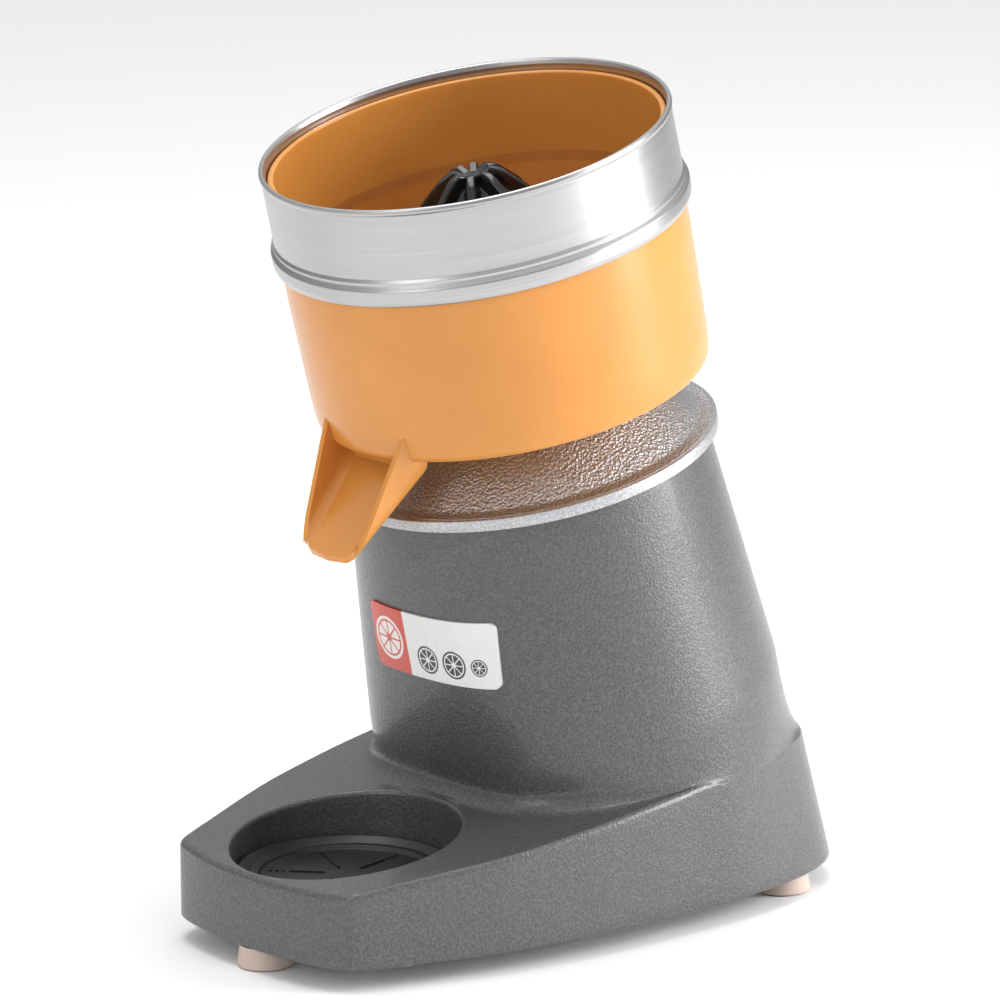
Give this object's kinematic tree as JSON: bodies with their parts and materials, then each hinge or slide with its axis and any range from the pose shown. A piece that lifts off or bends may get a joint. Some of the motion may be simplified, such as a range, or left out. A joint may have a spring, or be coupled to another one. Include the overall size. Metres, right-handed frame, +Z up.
{
  "type": "citrus press juicer",
  "caption": "Motor-driven citrus juicer: leaning cast body with a glass recess, orange bowl with pouring spout, aluminium splash ring, ribbed black reamer and strainer.",
  "frame": {"origin": "centre of the overall box in plan, on the surface the three feet stand on", "axes": "+Z up, -Y the front where the spout and the glass recess are, +X the machine's left-right axis"},
  "size_m": [0.1786, 0.2996, 0.3498],
  "materials": {
    "hammertone_paint": "grey hammered stoving paint on cast aluminium, glossy with a fine mottled dimple",
    "cast_aluminium": "bare sand-cast aluminium, sparkling grain on the cone and a turned edge",
    "spun_aluminium": "satin spun aluminium with brighter bead and ridge",
    "orange_plastic": "glossy light orange moulded plastic",
    "stainless_steel": "pressed stainless sheet, brushed round",
    "black_gloss_plastic": "polished black moulded plastic",
    "black_matte_plastic": "fine-grained black moulded plastic",
    "brass": "turned brass",
    "ground_steel": "ground bright steel",
    "lamination_steel": "stacked electrical sheet with varnish",
    "copper_winding": "varnished copper wire bundle, laced",
    "zinc_steel": "zinc plated steel fasteners",
    "nitrile_rubber": "black lip seal rubber",
    "plate_enamel": "white enamelled plate with a plain coloured panel and a citrus slice pictogram",
    "beige_rubber": "moulded pinkish beige rubber, matt",
    "galvanised_sheet": "galvanised steel sheet",
    "capacitor_can": "drawn aluminium can",
    "white_plastic": "off-white moulded plastic"
  },
  "bodies": {
    "frame": {"column_casting": "hammertone_paint", "base_front_casting": "hammertone_paint", "base_rear_casting": "hammertone_paint", "motor_flange": "cast_aluminium", "flange_screws": "zinc_steel", "shaft_seal": "nitrile_rubber", "stator_core": "lamination_steel", "upper_winding": "copper_winding", "lower_winding": "copper_winding", "upper_bearing": "ground_steel", "lower_bearing": "ground_steel", "end_shield": "cast_aluminium", "tie_bolts": "zinc_steel", "name_plate": "plate_enamel", "front_foot": "beige_rubber", "rear_left_foot": "beige_rubber", "rear_right_foot": "beige_rubber", "foot_screws": "zinc_steel", "bottom_cover": "galvanised_sheet", "cover_screws": "zinc_steel", "run_capacitor": "capacitor_can", "capacitor_clip": "galvanised_sheet", "terminal_block": "white_plastic", "switch_housing": "black_matte_plastic", "cable_gland": "black_matte_plastic", "gland_nut": "black_matte_plastic"},
    "rotor": {"motor_shaft": "ground_steel", "drive_pin": "ground_steel", "rotor_core": "lamination_steel", "cooling_fan": "black_matte_plastic"},
    "reaming_cone": {"reamer": "black_gloss_plastic", "drive_insert": "brass"},
    "bowl": {"bowl_wall": "orange_plastic", "bowl_floor": "orange_plastic", "pouring_spout": "orange_plastic"},
    "ring": {"splash_ring": "spun_aluminium"},
    "sieve": {"strainer": "stainless_steel"},
    "tray": {"drip_tray": "black_matte_plastic"},
    "rocker": {"switch_rocker": "black_gloss_plastic"}
  },
  "joints": [
    {"name": "rotor_spin", "type": "hinge", "parent": "frame", "child": "rotor", "pos_m": [0, 0.0066, 0.191], "axis": [0, -0.2202, 0.9755], "continuous": true},
    {"name": "reamer_lift", "type": "slide", "parent": "rotor", "child": "reaming_cone", "axis": [0, -0.2202, 0.9755], "range_m": [0, 0.15]},
    {"name": "bowl_lift", "type": "slide", "parent": "frame", "child": "bowl", "axis": [0, -0.2202, 0.9755], "range_m": [0, 0.045]},
    {"name": "strainer_lift", "type": "slide", "parent": "bowl", "child": "sieve", "axis": [0, -0.2202, 0.9755], "range_m": [0, 0.045]},
    {"name": "ring_lift", "type": "slide", "parent": "bowl", "child": "ring", "axis": [0, -0.2202, 0.9755], "range_m": [0, 0.06]},
    {"name": "tray_lift", "type": "slide", "parent": "frame", "child": "tray", "axis": [0, 0, 1], "range_m": [0, 0.03]},
    {"name": "rocker_tilt", "type": "hinge", "parent": "frame", "child": "rocker", "pos_m": [0, 0.1296, 0.058], "axis": [1, 0, 0], "range_deg": [-9, 9]}
  ],
  "couplings": [
    {"joint": "bowl_lift", "follows": "reamer_lift", "ratio": 0.3},
    {"joint": "strainer_lift", "follows": "reamer_lift", "ratio": 0.3}
  ]
}
